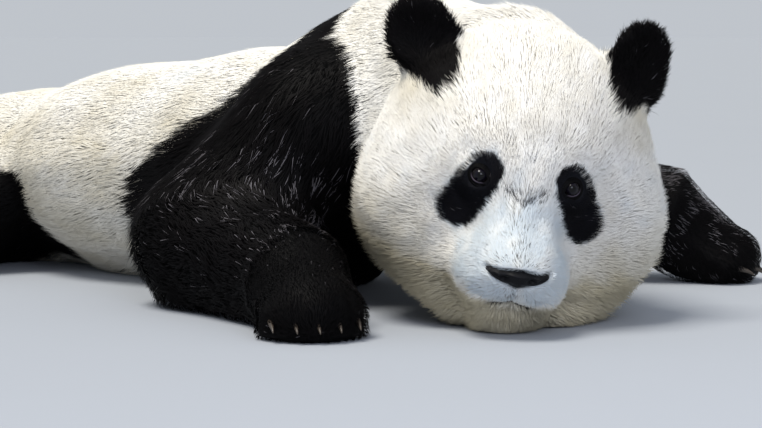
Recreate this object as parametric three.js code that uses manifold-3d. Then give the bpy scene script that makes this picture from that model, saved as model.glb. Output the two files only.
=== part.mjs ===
// A life-size giant panda lying on its belly with its chin on the floor and its head turned to its right,
// as a still model parted into named pieces. Every outline is that of the coat's tips.
// Millimetres. +Z is up and the floor is Z = 0. The body faces -Y, and +X is the panda's own left.
import * as THREE from "three";
import { mergeVertices } from "three/addons/utils/BufferGeometryUtils.js";
import Module from "manifold-3d";

const wasm = await Module();
wasm.setup();

const at = (x, y, z) => new THREE.Vector3(x, y, z);
const radians = THREE.MathUtils.degToRad;

// ---- Driving sizes ----------------------------------------------------------------------------

const GAP = 0.4; // clearance between pieces that touch
const FILLET = 16; // how far the legs and trunk swell where they join
const SMOOTH = 0.2; // slivers thinner than this are taken up
const FLOOR_BITE = 5; // how far a resting form is pressed into the floor, which makes its flat
const RIGHT = -1;
const LEFT = 1;

const TRUNK = {
  withers: 384, // height of the shoulders
  loin: 282, // height of the back over the belly
  rump: 240, // height of the back over the hips
  halfWidth: 228,
  hips: 590, // how far the hips lie behind the withers
};

const HEAD = {
  centre: at(-76, -358, 158), // middle of the skull, level with the widest of the cheeks
  turn: 43, // degrees to the panda's right
  nod: 12, // degrees down
  lean: 9, // degrees, crown towards the panda's left
  halfWidth: 178,
  crown: 178, // height of the crown over the centre
  muzzle: 206, // how far the nose reaches ahead of the centre
};

const EYE = { radius: 11, apart: 99, height: 34, sunk: 7.5 };
const NOSE = { width: 70, height: 28, depth: 34, drop: 49 };
const EAR = { width: 94, height: 100, thick: 38 };
const EAR_MIDDLE = { [RIGHT]: at(-12, -125, 146), [LEFT]: at(-12, 120, 152) }; // in the head's frame
const EAR_SPLAY = { [RIGHT]: 14, [LEFT]: 30 }; // degrees that each ear is turned outwards
const EAR_LEAN = { [RIGHT]: 34, [LEFT]: -8 }; // degrees that each ear leans away from the crown
const CHEEK_SHIFT = 5; // how far the right arm pushes the cheeks to the left
const CLAW = { length: 34, radius: 6, bend: 0.9 };
const TOES = [-2, -1, 0, 1, 2]; // places across a foot
const FORE_FOOT = { halfWidth: 56, height: 84, toeRadius: 21 };
const HIND_FOOT = { halfWidth: 52, height: 72, toeRadius: 19 };
const TAIL = { length: 120, width: 84, thick: 50 };

// The joints of each leg, given for the side they are on. Only the fore legs differ from side to side.
const FORE_LEG = {
  [RIGHT]: {
    shoulder: at(-128, -104, 214),
    elbow: at(-240, -22, 80),
    wrist: at(-292, -236, 56),
    toes: at(-368, -352, 26),
  },
  [LEFT]: {
    shoulder: at(136, -92, 222),
    elbow: at(262, -70, 84),
    wrist: at(350, -246, 92),
    toes: at(434, -332, 28),
  },
};
const HIND_LEG = {
  hip: at(132, 620, 112),
  knee: at(232, 500, 84),
  heel: at(262, 672, 44),
  toes: at(322, 520, 24),
};

// ---- Forms: a field gives about how far a point lies outside a surface, and is negative inside ---

function ball(centre, [rx, ry, rz]) {
  return (p) => {
    const x = (p.x - centre.x) / rx;
    const y = (p.y - centre.y) / ry;
    const z = (p.z - centre.z) / rz;
    const share = Math.hypot(x, y, z);
    const slope = Math.hypot(x / rx, y / ry, z / rz);
    return slope > 1e-9 ? (share * (share - 1)) / slope : -Math.min(rx, ry, rz);
  };
}

// A limb between two joints whose girth goes evenly from one radius to the other.
function limb(from, radiusFrom, to, radiusTo) {
  const along = to.clone().sub(from);
  const offset = new THREE.Vector3();
  return (p) => {
    offset.subVectors(p, from);
    const share = THREE.MathUtils.clamp(offset.dot(along) / along.lengthSq(), 0, 1);
    const radius = THREE.MathUtils.lerp(radiusFrom, radiusTo, share);
    return offset.addScaledVector(along, -share).length() - radius;
  };
}

// Joins fields with a fillet about as wide as soft.
function blend(soft, ...fields) {
  return (p) =>
    fields.reduce((sum, field) => {
      const value = field(p);
      const overlap = Math.max(soft - Math.abs(sum - value), 0) / soft;
      return Math.min(sum, value) - (overlap * overlap * soft) / 4;
    }, Infinity);
}

function carve(soft, field, hollow) {
  const rest = blend(soft, (p) => -field(p), hollow);
  return (p) => -rest(p);
}

// The part of a field that lies no farther than a margin from another one.
function within(field, other, margin) {
  return (p) => Math.max(field(p), other(p) - margin);
}

// The same field, read in the local frame of a matrix.
function placed(matrix, field) {
  const inverse = matrix.clone().invert();
  const local = new THREE.Vector3();
  return (p) => field(local.copy(p).applyMatrix4(inverse));
}

// ---- Surfaces: a capsule's vertices drawn out, or in, until they meet a field --------------------

const STEP = 9;
const FAR = 640;

function reach(field, anchor, direction, level = 0) {
  const probe = new THREE.Vector3();
  const value = (r) => field(probe.copy(anchor).addScaledVector(direction, r)) - level;
  let far = STEP;
  while (far < FAR && value(far) < 0) far += STEP;
  let near = far - STEP;
  for (let halving = 0; halving < 16; halving++) {
    const middle = (near + far) / 2;
    if (value(middle) < 0) near = middle;
    else far = middle;
  }
  return far;
}

// Wraps a capsule round the line from one point to another onto the field, grown by some millimetres.
function wrap(field, from, to, { around, along, caps }, grown = 0) {
  const capsule = new THREE.CapsuleGeometry(1, 1, caps, around, along);
  const line = to.clone().sub(from);
  const ahead = line.clone().normalize();
  const reference = Math.abs(ahead.z) > 0.9 ? at(0, 1, 0) : at(0, 0, 1);
  const side = ahead.clone().cross(reference).normalize();
  const frame = new THREE.Matrix4().makeBasis(side, ahead, side.clone().cross(ahead));
  const position = capsule.getAttribute("position");
  const anchor = new THREE.Vector3();
  const direction = new THREE.Vector3();
  for (let i = 0; i < position.count; i++) {
    direction.fromBufferAttribute(position, i);
    const height = THREE.MathUtils.clamp(direction.y, -0.5, 0.5);
    direction.y -= height;
    direction.applyMatrix4(frame).normalize();
    anchor.copy(from).addScaledVector(line, height + 0.5);
    anchor.addScaledVector(direction, reach(field, anchor, direction, grown));
    position.setXYZ(i, anchor.x, anchor.y, anchor.z);
  }
  return solid(capsule);
}

// ---- Solids --------------------------------------------------------------------------------------

function solid(geometry) {
  geometry.deleteAttribute("normal");
  geometry.deleteAttribute("uv");
  const merged = mergeVertices(geometry, 1e-3);
  const corners = merged.index.array;
  const kept = [];
  for (let i = 0; i < corners.length; i += 3) {
    const [a, b, c] = corners.slice(i, i + 3);
    if (a !== b && b !== c && c !== a) kept.push(a, b, c);
  }
  const vertProperties = merged.getAttribute("position").array;
  return new wasm.Manifold(new wasm.Mesh({ numProp: 3, vertProperties, triVerts: new Uint32Array(kept) }));
}

function largest(pieces) {
  return pieces.decompose().reduce((most, piece) => (piece.volume() > most.volume() ? piece : most));
}

// A plane through a point. What is kept lies on the side that the normal points to.
const plane = (point, normal) => ({ point, normal: normal.clone().normalize() });
const opposite = ({ point, normal }) => ({ point, normal: normal.clone().negate() });

function trimmed(made, planes, grown) {
  return planes.reduce(
    (kept, { point, normal }) => kept.trimByPlane(normal.toArray(), point.dot(normal) - grown),
    made,
  );
}

// The plane at a joint that halves the angle between the two lengths that meet there, facing the second.
function mitre(before, joint, after) {
  const towards = after.clone().sub(joint).normalize();
  return plane(joint, towards.sub(before.clone().sub(joint).normalize()));
}

const FLOOR = plane(at(0, 0, 0), at(0, 0, 1));

// ---- Colours ---------------------------------------------------------------------------------------

const finish = (color, roughness) => new THREE.MeshStandardMaterial({ color, roughness, metalness: 0 });
const CREAM = finish(0xe9e2d0, 0.9);
const BLACK = finish(0x14130f, 0.85);
const NOSE_SKIN = finish(0x17161a, 0.45);
const EYE_DARK = finish(0x120c09, 0.08);
const HORN = finish(0x3a332c, 0.4);

// ---- Body ------------------------------------------------------------------------------------------

const headFrame = new THREE.Matrix4()
  .makeTranslation(HEAD.centre)
  .multiply(new THREE.Matrix4().makeRotationZ(radians(-90 - HEAD.turn)))
  .multiply(new THREE.Matrix4().makeRotationY(radians(HEAD.nod)))
  .multiply(new THREE.Matrix4().makeRotationX(radians(-HEAD.lean)));
const inHead = (ahead, left, up) => at(ahead, left, up).applyMatrix4(headFrame);

const torso = (() => {
  const { withers, loin, rump, halfWidth, hips } = TRUNK;
  const chestHalf = (loin + 28) / 2;
  const loinHalf = (loin + FLOOR_BITE) / 2;
  const rumpHalf = (rump + FLOOR_BITE) / 2;
  const chest = ball(at(0, 84, chestHalf - FLOOR_BITE), [halfWidth - 18, 226, chestHalf]);
  const hump = ball(at(14, -100, withers - 110), [116, 88, 106]);
  const belly = ball(at(0, 300, loinHalf - FLOOR_BITE), [halfWidth, 270, loinHalf]);
  const rear = ball(at(0, hips - 20, rumpHalf - FLOOR_BITE), [halfWidth - 26, 200, rumpHalf]);
  const nape = limb(at(0, -108, 226), 142, inHead(-70, 0, 34), 150);
  return blend(50, chest, hump, belly, rear, nape);
})();

// A flat-soled foot from its wrist or heel to its toes, with the places where the toes and claws sit.
function footOf(joint, toes, { halfWidth, height, toeRadius }) {
  const ahead = at(toes.x - joint.x, toes.y - joint.y, 0).normalize();
  const across = at(ahead.y, -ahead.x, 0);
  const toeCentres = TOES.map((i) =>
    toes
      .clone()
      .addScaledVector(across, i * halfWidth * 0.42)
      .addScaledVector(ahead, -i * i * 5 - toeRadius)
      .setZ(toeRadius - FLOOR_BITE / 2),
  );
  const length = Math.hypot(toes.x - joint.x, toes.y - joint.y);
  const frame = new THREE.Matrix4()
    .makeBasis(across, ahead, at(0, 0, 1))
    .setPosition(joint.clone().addScaledVector(ahead, length * 0.48).setZ(height / 2 - FLOOR_BITE));
  const pad = placed(frame, ball(at(0, 0, 0), [halfWidth, length * 0.56, height / 2]));
  const toeBalls = toeCentres.map((centre) => ball(centre, Array(3).fill(toeRadius)));
  return { ahead, toeCentres, toeRadius, shape: blend(16, pad, ...toeBalls) };
}

function foreLegOf(side) {
  const { shoulder, elbow, wrist, toes } = FORE_LEG[side];
  const foot = footOf(wrist, toes, FORE_FOOT);
  const mass = ball(shoulder, [86, 84, 84]);
  const upper = limb(shoulder, 92, elbow, 82);
  const lower = limb(elbow, 82, wrist, 60);
  return { shoulder, elbow, wrist, toes, foot, shape: blend(30, mass, upper, lower, foot.shape) };
}

function hindLegOf(side) {
  const [hip, knee, heel, toes] = ["hip", "knee", "heel", "toes"].map((joint) =>
    HIND_LEG[joint].clone().multiply(at(side, 1, 1)),
  );
  const foot = footOf(heel, toes, HIND_FOOT);
  const haunch = ball(hip, [96, 140, 106]);
  const thigh = limb(hip, 96, knee, 80);
  const shank = limb(knee, 72, heel, 46);
  return { hip, knee, heel, toes, foot, shank, shape: blend(24, haunch, thigh, shank, foot.shape) };
}

const foreLegs = { [RIGHT]: foreLegOf(RIGHT), [LEFT]: foreLegOf(LEFT) };
const hindLegs = { [RIGHT]: hindLegOf(RIGHT), [LEFT]: hindLegOf(LEFT) };
const legShapes = [RIGHT, LEFT].flatMap((side) => [foreLegs[side].shape, hindLegs[side].shape]);
const bodyField = blend(44, torso, ...legShapes);

const neckPlane = plane(at(-8, -104, 220), at(-0.2, -1, -0.12));

const headField = placed(
  headFrame,
  (() => {
    const { halfWidth, crown, muzzle } = HEAD;
    const skull = ball(at(-22, 0, crown - 134), [146, 150, 134]);
    const brow = ball(at(48, 0, 40), [86, 96, 84]);
    const cheeks = [RIGHT, LEFT].map((s) =>
      ball(at(-4, s * (halfWidth - 98) + CHEEK_SHIFT, -32), [110, 98, 106]),
    );
    const bridge = limb(at(88, 0, 2), 54, at(muzzle - 46, 0, -41), 38);
    const lips = [RIGHT, LEFT].map((s) => ball(at(muzzle - 66, s * 26, -64), [60, 38, 38]));
    const chin = limb(at(40, 0, -84), 72, at(muzzle - 88, 0, -92), 44);
    const jowls = [RIGHT, LEFT].map((s) => ball(at(58, s * 48, -82), [64, 58, 58]));
    const face = blend(36, skull, brow, ...cheeks, ...jowls);
    return blend(26, face, blend(20, bridge, ...lips), chin);
  })(),
);

// How far ahead the face's own surface lies at a place across and up it.
function faceAhead(left, up) {
  const ahead = at(1, 0, 0).transformDirection(headFrame);
  return reach(headField, inHead(0, left, up), ahead);
}

// A node to be: its name and finish, and a solid that can be made grown, so as to cut its neighbours.
const nodes = [];
const add = (name, material, make) => nodes.push({ name, material, make });

function addEyes() {
  for (const [side, name] of [[RIGHT, "eye_right"], [LEFT, "eye_left"]]) {
    const left = (side * EYE.apart) / 2;
    const centre = inHead(faceAhead(left, EYE.height) - EYE.sunk, left, EYE.height);
    add(name, EYE_DARK, (grown) =>
      solid(new THREE.SphereGeometry(EYE.radius + grown, 10, 7).translate(...centre.toArray())),
    );
  }
}

function addNose() {
  const { width, height, depth, drop } = NOSE;
  const centre = at(faceAhead(0, -drop) - depth * 0.26, 0, -drop);
  const wings = [RIGHT, LEFT].map((s) =>
    ball(centre.clone().add(at(-2, s * width * 0.3, 3)), [depth / 2, width * 0.22, height * 0.26]),
  );
  const tip = ball(centre.clone().add(at(1, 0, 1)), [depth / 2, width * 0.3, height * 0.4]);
  const pointRadii = [depth * 0.42, width * 0.14, height * 0.3];
  const point = ball(centre.clone().add(at(-3, 0, -height * 0.26)), pointRadii);
  const field = placed(headFrame, blend(8, tip, ...wings, point));
  const [from, to] = [RIGHT, LEFT].map((s) => inHead(centre.x - 2, s * width * 0.18, centre.z));
  add("nose", NOSE_SKIN, (grown) => wrap(field, from, to, { around: 12, along: 4, caps: 3 }, grown));
}

function addEars() {
  const { width, height, thick } = EAR;
  for (const [side, name] of [[RIGHT, "ear_right"], [LEFT, "ear_left"]]) {
    const frame = headFrame
      .clone()
      .multiply(new THREE.Matrix4().makeTranslation(EAR_MIDDLE[side]))
      .multiply(new THREE.Matrix4().makeRotationZ(radians(side * EAR_SPLAY[side])))
      .multiply(new THREE.Matrix4().makeRotationX(radians(-side * EAR_LEAN[side])));
    const disc = ball(at(0, 0, 0), [thick / 2, width / 2, height / 2]);
    const stem = ball(at(-4, 0, -height * 0.34), [thick * 0.5, width * 0.36, height * 0.3]);
    const scoop = ball(at(thick * 0.62, 0, 2), [thick * 0.56, width * 0.31, height * 0.33]);
    const field = placed(frame, carve(8, blend(14, disc, stem), scoop));
    const [from, to] = [-0.26, 0.2].map((share) => at(-thick * 0.2, 0, height * share).applyMatrix4(frame));
    add(name, BLACK, (grown) => wrap(field, from, to, { around: 14, along: 2, caps: 3 }, grown));
  }
}

function addHead() {
  const [from, to] = [inHead(-56, 0, 26), inHead(104, 0, -34)];
  add("head", CREAM, (grown) =>
    trimmed(wrap(headField, from, to, { around: 26, along: 6, caps: 7 }, grown), [FLOOR], 0),
  );
}

function addNeck() {
  const [from, to] = [at(0, -30, 222), inHead(-60, 0, 26)];
  add("neck", CREAM, (grown) =>
    trimmed(wrap(torso, from, to, { around: 16, along: 3, caps: 2 }, grown), [neckPlane], grown),
  );
}

function addTrunk() {
  const [from, to] = [at(0, -30, 190), at(0, TRUNK.hips, 132)];
  const field = within(bodyField, torso, FILLET);
  add("trunk", CREAM, () =>
    trimmed(wrap(field, from, to, { around: 18, along: 10, caps: 3 }), [FLOOR, opposite(neckPlane)], 0),
  );
}

function addTail() {
  const { length, width, thick } = TAIL;
  const frame = new THREE.Matrix4()
    .makeTranslation(0, TRUNK.hips + 172, TRUNK.rump * 0.56)
    .multiply(new THREE.Matrix4().makeRotationX(radians(28)));
  const field = placed(
    frame,
    blend(
      16,
      ball(at(0, 0, 0), [width / 2, thick / 2, length / 2]),
      ball(at(0, -8, 26), [width * 0.42, 34, 34]),
    ),
  );
  const [from, to] = [-0.25, 0.25].map((share) => at(0, 0, length * share).applyMatrix4(frame));
  add("tail", CREAM, (grown) => wrap(field, from, to, { around: 10, along: 3, caps: 2 }, grown));
}

// ---- Legs and feet ---------------------------------------------------------------------------------

// A claw that starts along a heading and curves down to its point.
function claw(root, ahead, grown) {
  const length = CLAW.length + grown;
  const geometry = new THREE.ConeGeometry(CLAW.radius + grown, length, 5, 2);
  const position = geometry.getAttribute("position");
  const turnRadius = length / CLAW.bend;
  const across = at(ahead.y, -ahead.x, 0);
  for (let i = 0; i < position.count; i++) {
    const angle = CLAW.bend * (position.getY(i) / length + 0.5);
    const fromAxis = turnRadius + position.getZ(i);
    const place = root
      .clone()
      .addScaledVector(across, position.getX(i) * 0.75)
      .addScaledVector(ahead, fromAxis * Math.sin(angle))
      .add(at(0, 0, fromAxis * Math.cos(angle) - turnRadius));
    position.setXYZ(i, place.x, place.y, place.z);
  }
  return solid(geometry);
}

function addClaws(footName, { ahead, toeCentres, toeRadius }) {
  toeCentres.forEach((centre, i) => {
    const root = centre.clone().addScaledVector(ahead, toeRadius * 0.4).add(at(0, 0, 3));
    add(`claw_${footName}_${i + 1}`, HORN, (grown) => claw(root, ahead, grown));
  });
}

// A length of a leg from one joint to the next, cut off by planes.
function addLength(name, field, from, to, fineness, planes) {
  add(name, BLACK, (grown) => trimmed(wrap(field, from, to, fineness, grown), [FLOOR, ...planes], grown));
}

function addForeLeg(side, name) {
  const { shoulder, elbow, wrist, toes, foot, shape } = foreLegs[side];
  const field = within(bodyField, shape, FILLET);
  const elbowPlane = mitre(shoulder, elbow, wrist);
  const wristPlane = mitre(elbow, wrist, toes);
  const palm = wrist.clone().lerp(toes, 0.72).setZ(wrist.z * 0.6);
  addClaws(`fore_${name}`, foot);
  addLength(`upper_arm_${name}`, field, shoulder, elbow, { around: 14, along: 4, caps: 3 }, [
    plane(at(side * 92, 0, 0), at(side, 0, 0)),
    opposite(elbowPlane),
  ]);
  addLength(`forearm_${name}`, field, elbow, wrist, { around: 14, along: 5, caps: 3 }, [
    elbowPlane,
    opposite(wristPlane),
  ]);
  addLength(`fore_paw_${name}`, field, wrist, palm, { around: 14, along: 2, caps: 3 }, [wristPlane]);
}

function addHindLeg(side, name) {
  const { hip, knee, heel, toes, foot, shank, shape } = hindLegs[side];
  const field = within(bodyField, shape, FILLET);
  const [footField, shankField] = [foot.shape, shank].map((own) => within(bodyField, own, FILLET / 2));
  const kneePlane = mitre(hip, knee, heel);
  const sole = heel.clone().lerp(toes, 0.8).setZ(heel.z * 0.8);
  addClaws(`hind_${name}`, foot);
  addLength(`hind_foot_${name}`, footField, heel, sole, { around: 12, along: 2, caps: 3 }, []);
  addLength(`shank_${name}`, shankField, knee, heel, { around: 10, along: 4, caps: 2 }, [kneePlane]);
  addLength(`thigh_${name}`, field, hip, knee, { around: 14, along: 4, caps: 3 }, [
    plane(at(side * 92, 0, 0), at(side, 0, 0)),
    opposite(kneePlane),
  ]);
}

// ---- Assembly: each piece is cut by all that come before it ------------------------------------------

addEyes();
addNose();
addEars();
addHead();
for (const [side, name] of [[RIGHT, "right"], [LEFT, "left"]]) {
  addForeLeg(side, name);
  addHindLeg(side, name);
}
addTail();
addNeck();
addTrunk();

const group = new THREE.Group();
const cutters = [];
for (const { name, material, make } of nodes) {
  const made = largest(cutters.reduce((rest, cutter) => rest.subtract(cutter), make(0)).simplify(SMOOTH));
  cutters.push(make(GAP));
  const { vertProperties, triVerts } = made.getMesh();
  const geometry = new THREE.BufferGeometry()
    .setAttribute("position", new THREE.BufferAttribute(vertProperties, 3))
    .setIndex(new THREE.BufferAttribute(triVerts, 1));
  const mesh = new THREE.Mesh(geometry, material);
  mesh.name = name;
  group.add(mesh);
}

// The origin is the middle of the box's underside, on the floor.
const middle = new THREE.Box3().setFromObject(group).getCenter(new THREE.Vector3());
group.position.set(-middle.x, -middle.y, 0);

export default group;
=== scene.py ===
import math

import bpy
import numpy as np
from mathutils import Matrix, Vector
from mathutils.bvhtree import BVHTree


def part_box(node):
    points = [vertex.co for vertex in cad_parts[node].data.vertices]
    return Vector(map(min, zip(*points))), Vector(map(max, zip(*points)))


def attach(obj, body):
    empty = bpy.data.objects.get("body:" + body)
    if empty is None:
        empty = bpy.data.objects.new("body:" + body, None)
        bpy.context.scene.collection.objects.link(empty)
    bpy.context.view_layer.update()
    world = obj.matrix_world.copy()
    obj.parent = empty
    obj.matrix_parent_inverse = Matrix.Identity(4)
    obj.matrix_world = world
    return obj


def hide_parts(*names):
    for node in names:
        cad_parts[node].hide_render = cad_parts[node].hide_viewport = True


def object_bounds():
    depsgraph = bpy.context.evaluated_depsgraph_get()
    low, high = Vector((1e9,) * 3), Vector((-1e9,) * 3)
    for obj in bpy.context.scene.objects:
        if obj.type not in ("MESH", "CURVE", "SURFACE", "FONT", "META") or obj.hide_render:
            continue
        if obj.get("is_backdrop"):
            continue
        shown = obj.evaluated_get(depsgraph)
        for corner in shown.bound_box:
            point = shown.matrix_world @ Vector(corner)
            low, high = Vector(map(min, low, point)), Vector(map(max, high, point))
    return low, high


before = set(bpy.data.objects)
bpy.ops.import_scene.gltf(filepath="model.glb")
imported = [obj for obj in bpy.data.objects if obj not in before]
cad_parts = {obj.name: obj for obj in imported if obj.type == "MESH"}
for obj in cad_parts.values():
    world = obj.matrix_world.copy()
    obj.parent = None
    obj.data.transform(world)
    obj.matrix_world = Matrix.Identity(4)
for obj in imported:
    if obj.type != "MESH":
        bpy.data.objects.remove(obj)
cad_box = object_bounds()

bl_info = {
    "name": "Resting giant panda",
    "version": (1, 0, 0),
    "blender": (4, 5, 0),
    "location": "View3D > Sidebar > Panda",
    "description": "Dresses the solids of a life-size giant panda in skin, eyes, nose, claws and coat",
    "category": "Add Mesh",
}

MM = 0.001
SQUARE_CM = 1e-4
SIDES = {"right": -1, "left": 1}
ABOVE = Vector((0, 0, 1))
FLESH = sorted(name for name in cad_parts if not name.startswith(("eye_", "nose", "claw_")))

# The head's middle lies so far behind and below the point between the eyes, in millimetres, and the line
# from that point to the nose falls at this angle.
EYES_AHEAD, EYES_ABOVE = 121.5, 34
FACE_SLOPE = math.radians(51)

# The coat of each part: how deep it stands over the skin, how long and wide a tuft is (all in millimetres),
# and how many tufts grow on a square centimetre.
COAT = {
    "head": (13, 30, 1.15, 22.5),
    "ear": (6, 14, 0.95, 44),
    "neck": (14, 36, 1.25, 19.5),
    "trunk": (15, 40, 1.45, 11.75),
    "tail": (20, 42, 1.6, 12),
    "upper_arm": (11, 38, 1.6, 7.8),
    "forearm": (9, 30, 1.45, 9.5),
    "fore_paw": (5.5, 15, 1.15, 15.5),
    "thigh": (11, 34, 1.7, 6.8),
    "shank": (9, 27, 1.6, 7.8),
    "hind_foot": (6, 16, 1.2, 13.5),
}

# The key in COAT of each solid of flesh.
PARTS = np.array([next(key for key in COAT if name.startswith(key)) for name in FLESH])

# The parts whose skin is smoothed the most.
BROAD = ("neck", "trunk", "upper_arm", "forearm", "thigh", "shank", "tail")

# The coat on the face, by distance from the nose: distance, then depth, length, width and tufts as in COAT.
FACE_COAT = (
    (0, 2.5, 5, 0.75, 85),
    (35, 4, 8, 0.8, 76),
    (60, 6.5, 12, 0.85, 64),
    (90, 7.5, 15, 0.9, 54),
    (135, 10, 20, 1.0, 42),
    (180, 12, 25, 1.0, 33),
    (240, 13, 30, 1.15, 22.5),
)

# How high the tufts of each piece of the coat stand, as two shares of its depth, and how fast they rise: at
# 1 evenly from root to tip, and near 2 at once, to lie flat after that. LYING is for all other pieces.
LYING = (0.87, 1.0, 1.97)
STANDING = {
    "face": (0.6, 1.1, 1.25),
    "brow": (0.93, 1.0, 1.9),
    "cheeks": (0.72, 1.4, 1.25),
    "ears": (0.4, 1.05, 1.25),
    "crown": (0.92, 1.0, 1.97),
    "neck": (0.92, 1.0, 1.97),
}

# Each eye patch is a rounded bar, given as (left, up, radius) at its two ends.
EYE_PATCHES = {
    "right": ((-46, 48, 18.5), (-72, -5, 22.5)),
    "left": ((50, 47, 17.5), (77, -4, 23.5)),
}

# The black band round the shoulders: height above the floor, and how far forward and back it reaches there.
BAND = (
    (60, -400, 60),
    (126, -400, 45),
    (152, -370, 24),
    (176, -352, -10),
    (200, -346, -36),
    (216, -343, -62),
    (243, -334, -105),
    (276, -302, -119),
    (300, -272, -134),
    (319, -247, -140),
    (345, -220, -146),
    (385, -202, -146),
)

# Where pale strands are painted into the black coat as glints, where the light catches it: a node, the
# place from its middle, how far round that they reach, and their share of the tufts there.
GLINT_PLACES = (
    ("forearm_right", (70, -72, 20), 50, 0.6),
    ("fore_paw_right", (30, 70, 35), 38, 0.4),
    ("upper_arm_right", (-76, -3, -17), 60, 0.3),
    ("upper_arm_right", (-30, -60, 30), 60, 0.12),
    ("fore_paw_left", (-10, 20, 45), 80, 0.9),
    ("upper_arm_left", (60, -30, 0), 75, 0.2),
)

# Guard hairs: their share of the tufts, and how long, wide and high they are against their neighbours.
GUARD_SHARE = 0.08
GUARD_LENGTH, GUARD_WIDTH, GUARD_HEIGHT = 1.25, 0.55, 1.06

# A tuft's root is sunk so deep in the skin, the tuft is thickest at this share of its length from the root,
# and its colour is seen at this share.
ROOT_DEPTH = 1.2 * MM
THICKEST = 0.42
SEEN_SHARE = 0.7

# The corners of a tuft are its root, three round its thickest place and its tip. These are their shares of
# the way to the tip, their places on the tuft's patch of the unwrap, the patch's size and the faces.
TUFT_SHARES = (0, THICKEST, THICKEST, THICKEST, 1)
TUFT_PATCH = np.array([(0.5, 0), (0, 0.5), (0.5, 0.5), (1, 0.5), (0.5, 1)])
PATCH_SIZE = 0.003
TUFT_FACES = np.array([(0, 2, 1), (0, 3, 2), (0, 1, 3), (1, 2, 4), (2, 3, 4), (3, 1, 4)])

# Where the pieces of the head's coat part, in millimetres: two distances from the nose and a height.
FACE_REACH, BROW_REACH, BROW_HEIGHT = 128, 200, 10

# How far above the floor the lowest skin and the lowest tufts lie.
SKIN_GAP, COAT_GAP = 1.2 * MM, 0.9 * MM

# What the skin keeps for the coat at each vertex, in the order of COAT.
COAT_FIELDS = ("coat_depth", "coat_length", "coat_width", "coat_tufts")

# The direction out of the bridge of the nose, in the head's frame.
BRIDGE_OUT = (0.78, 0, 0.63)

# How the names of the all-black zones of the coat start.
DARK_ZONES = ("ears", "fore", "hind")

# What the camera looks at, from the point between the eyes, in metres.
AIM = Vector((-0.0235, 0.1962, -0.0452))

# The node that each part of a leg points to.
NEXT_NODE = {
    "upper_arm": "forearm_{}",
    "forearm": "fore_paw_{}",
    "fore_paw": "claw_fore_{}_3",
    "thigh": "shank_{}",
    "shank": "hind_foot_{}",
    "hind_foot": "claw_hind_{}_3",
}

# The form of an eye socket, in millimetres: the distance from its middle, how far out the skin stands
# there, and how firmly it is set to that.
SOCKET = ((0, -9, 1), (10.5, -9, 1), (12.5, 4.2, 1), (16, 4.6, 1), (22, 3.0, 0.6), (30, 0, 0))

# The rings of an eyelid, from its edge out: their size against the opening, how many millimetres they
# stand over the eyeball, how much of the lid's thickness comes on top of that, and how pale they are: a
# painted highlight on the lid's moist edge, shown below the eye only.
LID_RINGS = (
    (0.93, -0.6, 0, 0),
    (0.985, 0, 0, 0.9),
    (1.0, 0, 0.55, 0.9),
    (1.06, 0, 1, 0.35),
    (1.18, 0, 1.15, 0),
    (1.36, 0, 1, 0),
    (1.6, 0, 0.7, 0),
    (1.95, 0.2, 0, 0),
    (2.3, -1.5, 0, 0),
)


# ---- Settings ----


def length_setting(title, description, default):
    """A size in metres that the sidebar shows."""
    return bpy.props.FloatProperty(
        name=title, description=description, default=default, min=0, unit="LENGTH", precision=4
    )


def colour_setting(title, description, default):
    """A colour that the sidebar shows."""
    return bpy.props.FloatVectorProperty(
        name=title, description=description, default=default, size=3, min=0, max=1, subtype="COLOR"
    )


class SkinSettings(bpy.types.PropertyGroup):
    voxel: length_setting("Mesh size", "Size of the skin's squares away from the face", 6.3 * MM)
    swell: length_setting("Swell", "How far the solids grow so that they fuse", 1 * MM)
    crease: length_setting("Brow crease", "Depth of the crease between the eyes", 2.5 * MM)
    mouth: length_setting("Mouth", "Depth of the line of the mouth", 6 * MM)


class EyeSettings(bpy.types.PropertyGroup):
    half_length: length_setting("Half length", "Half the length of the opening between the lids", 9.2 * MM)
    half_height: length_setting("Half height", "Half the height of the opening between the lids", 7.2 * MM)
    lid: length_setting("Lid", "Thickness of the lids", 1.2 * MM)
    iris: length_setting("Iris", "Radius of the iris", 7.6 * MM)
    pupil: length_setting("Pupil", "Radius of the pupil", 3.4 * MM)


class CoatSettings(bpy.types.PropertyGroup):
    thickness: bpy.props.FloatProperty(
        name="Thickness", description="Share of all the tufts that are grown", default=1, min=0, max=1
    )
    seed: bpy.props.IntProperty(name="Seed", description="Changes where each tuft grows", default=7)
    # The least cream white, on the muzzle and bridge: cooler white fur, darkened and blued as painted
    # shade.
    pearl: colour_setting("Pearl", "The cleanest of the white coat", (0.59, 0.66, 0.715))
    white: colour_setting("White", "The white coat", (0.95, 0.93, 0.88))
    # Cream is both real staining and painted shade, under the lip and on the chin and lower cheeks.
    cream: colour_setting("Cream", "White coat where it is stained", (0.61, 0.54, 0.38))
    # The colour at the roots is darker as painted shade deep in the coat.
    under: colour_setting("Under", "White coat at its roots", (0.86, 0.82, 0.73))
    black: colour_setting("Black", "The black coat", (0.0026, 0.0024, 0.0026))
    rust: colour_setting("Rust", "Tips of the black coat", (0.0060, 0.0048, 0.0052))
    # The glint colour is a painted highlight, put on some black strands where the light catches them.
    gloss: colour_setting("Gloss", "The palest strands of the black coat", (0.15, 0.14, 0.15))


class StageSettings(bpy.types.PropertyGroup):
    distance: length_setting("Distance", "From the camera to what it looks at", 2.6)
    azimuth: bpy.props.FloatProperty(
        name="Azimuth", description="Where the camera stands", default=math.radians(-45), subtype="ANGLE"
    )
    elevation: bpy.props.FloatProperty(
        name="Elevation", description="How high the camera stands", default=math.radians(5), subtype="ANGLE"
    )
    lens: bpy.props.FloatProperty(name="Lens", description="Focal length in millimetres", default=108.7)


# ---- Places ----


def middle(name):
    """The middle of a node's box."""
    low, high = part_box(name)
    return (low + high) / 2


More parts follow.
